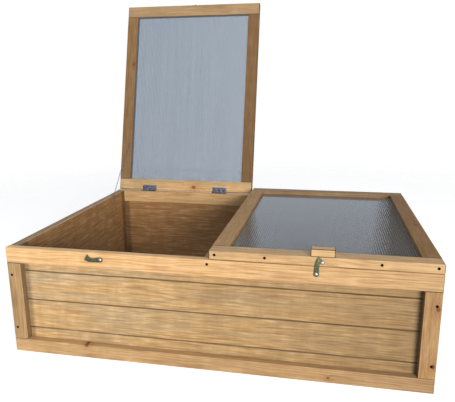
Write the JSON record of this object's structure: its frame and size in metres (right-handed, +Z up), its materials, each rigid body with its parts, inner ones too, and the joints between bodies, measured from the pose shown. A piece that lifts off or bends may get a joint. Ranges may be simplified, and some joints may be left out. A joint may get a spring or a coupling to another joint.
{
  "type": "cold frame",
  "caption": "Low bottomless timber cold frame with tongue-and-groove sides, two twin-wall glazed lids on butt hinges, swivel hooks and stay chains; one lid open.",
  "frame": {"origin": "on the ground, in the middle of the footprint of the rest pose (left lid open, right lid shut); the box itself is centred 126.5 mm in front of it", "axes": "+X to the right along the hinge line, +Y to the back, +Z up"},
  "size_m": [1.2, 1.0829, 1.1259],
  "materials": {
    "timber": "honey-stained planed softwood",
    "boards": "honey-stained softwood boards",
    "zinc": "dull zinc-plated steel",
    "glazing": "clear twin-wall polycarbonate"
  },
  "bodies": {
    "box": {"front_top_rail": "timber", "front_bottom_rail": "timber", "front_left_post": "timber", "front_right_post": "timber", "back_top_rail": "timber", "back_bottom_rail": "timber", "back_left_post": "timber", "back_right_post": "timber", "left_side_top_rail": "timber", "left_side_bottom_rail": "timber", "left_side_front_post": "timber", "left_side_back_post": "timber", "right_side_top_rail": "timber", "right_side_bottom_rail": "timber", "right_side_front_post": "timber", "right_side_back_post": "timber", "front_board_1": "boards", "front_board_2": "boards", "front_board_3": "boards", "front_board_4": "boards", "back_board_1": "boards", "back_board_2": "boards", "back_board_3": "boards", "back_board_4": "boards", "left_side_boards": "boards", "right_side_boards": "boards", "centre_rail": "timber", "box_screws": "zinc", "hinge_fixed_leaves": "zinc", "hinge_pins": "zinc", "hinge_box_screws": "zinc", "hook_pivot_screws": "zinc", "chain_wall_screws": "zinc"},
    "left_lid": {"left_lid_front_rail": "timber", "left_lid_back_rail": "timber", "left_lid_left_stile": "timber", "left_lid_right_stile": "timber", "left_lid_glazing": "glazing", "left_lid_lift_block": "timber", "left_lid_screws": "zinc", "left_hinge_lid_leaves": "zinc", "left_hook_stud": "zinc", "left_stay_eye": "zinc"},
    "right_lid": {"right_lid_front_rail": "timber", "right_lid_back_rail": "timber", "right_lid_left_stile": "timber", "right_lid_right_stile": "timber", "right_lid_glazing": "glazing", "right_lid_lift_block": "timber", "right_lid_screws": "zinc", "right_hinge_lid_leaves": "zinc", "right_hook_stud": "zinc", "right_stay_eye": "zinc"},
    "left_hook": {"left_hook": "zinc"},
    "right_hook": {"right_hook": "zinc"},
    "left_chain_upper": {"left_chain_upper": "zinc"},
    "left_chain_lower": {"left_chain_lower": "zinc"},
    "right_chain_upper": {"right_chain_upper": "zinc"},
    "right_chain_lower": {"right_chain_lower": "zinc"}
  },
  "joints": [
    {"name": "left_lid_hinge", "type": "hinge", "parent": "box", "child": "left_lid", "pos_m": [-0.3025, 0.284, 0.3305], "axis": [1, 0, 0], "range_deg": [0, 105]},
    {"name": "right_lid_hinge", "type": "hinge", "parent": "box", "child": "right_lid", "pos_m": [0.3025, 0.284, 0.3305], "axis": [-1, 0, 0], "range_deg": [0, 105]},
    {"name": "left_hook_pivot", "type": "hinge", "parent": "box", "child": "left_hook", "pos_m": [-0.3055, -0.538, 0.31], "axis": [0, 1, 0], "range_deg": [-82, 98]},
    {"name": "right_hook_pivot", "type": "hinge", "parent": "box", "child": "right_hook", "pos_m": [0.2895, -0.538, 0.31], "axis": [0, -1, 0], "range_deg": [0, 170]},
    {"name": "left_chain_eye_turn", "type": "hinge", "parent": "left_lid", "child": "left_chain_upper", "pos_m": [-0.557, 0.32624, 0.53452], "axis": [1, 0, 0], "range_deg": [-52.8, 0]},
    {"name": "left_chain_wall_turn", "type": "hinge", "parent": "box", "child": "left_chain_lower", "pos_m": [-0.5625, 0.12154, 0.3185], "axis": [1, 0, 0], "range_deg": [0, 214.7]},
    {"name": "right_chain_eye_turn", "type": "hinge", "parent": "right_lid", "child": "right_chain_upper", "pos_m": [0.557, 0.076, 0.3185], "axis": [-1, 0, 0], "range_deg": [-52.8, 0]},
    {"name": "right_chain_wall_turn", "type": "hinge", "parent": "box", "child": "right_chain_lower", "pos_m": [0.5625, 0.12154, 0.3185], "axis": [-1, 0, 0], "range_deg": [0, 214.7]}
  ],
  "couplings": [
    {"joint": "left_chain_eye_turn", "follows": "left_lid_hinge", "ratio": -0.50227},
    {"joint": "left_chain_wall_turn", "follows": "left_lid_hinge", "ratio": 2.0443},
    {"joint": "right_chain_eye_turn", "follows": "right_lid_hinge", "ratio": -0.50227},
    {"joint": "right_chain_wall_turn", "follows": "right_lid_hinge", "ratio": 2.0443}
  ]
}
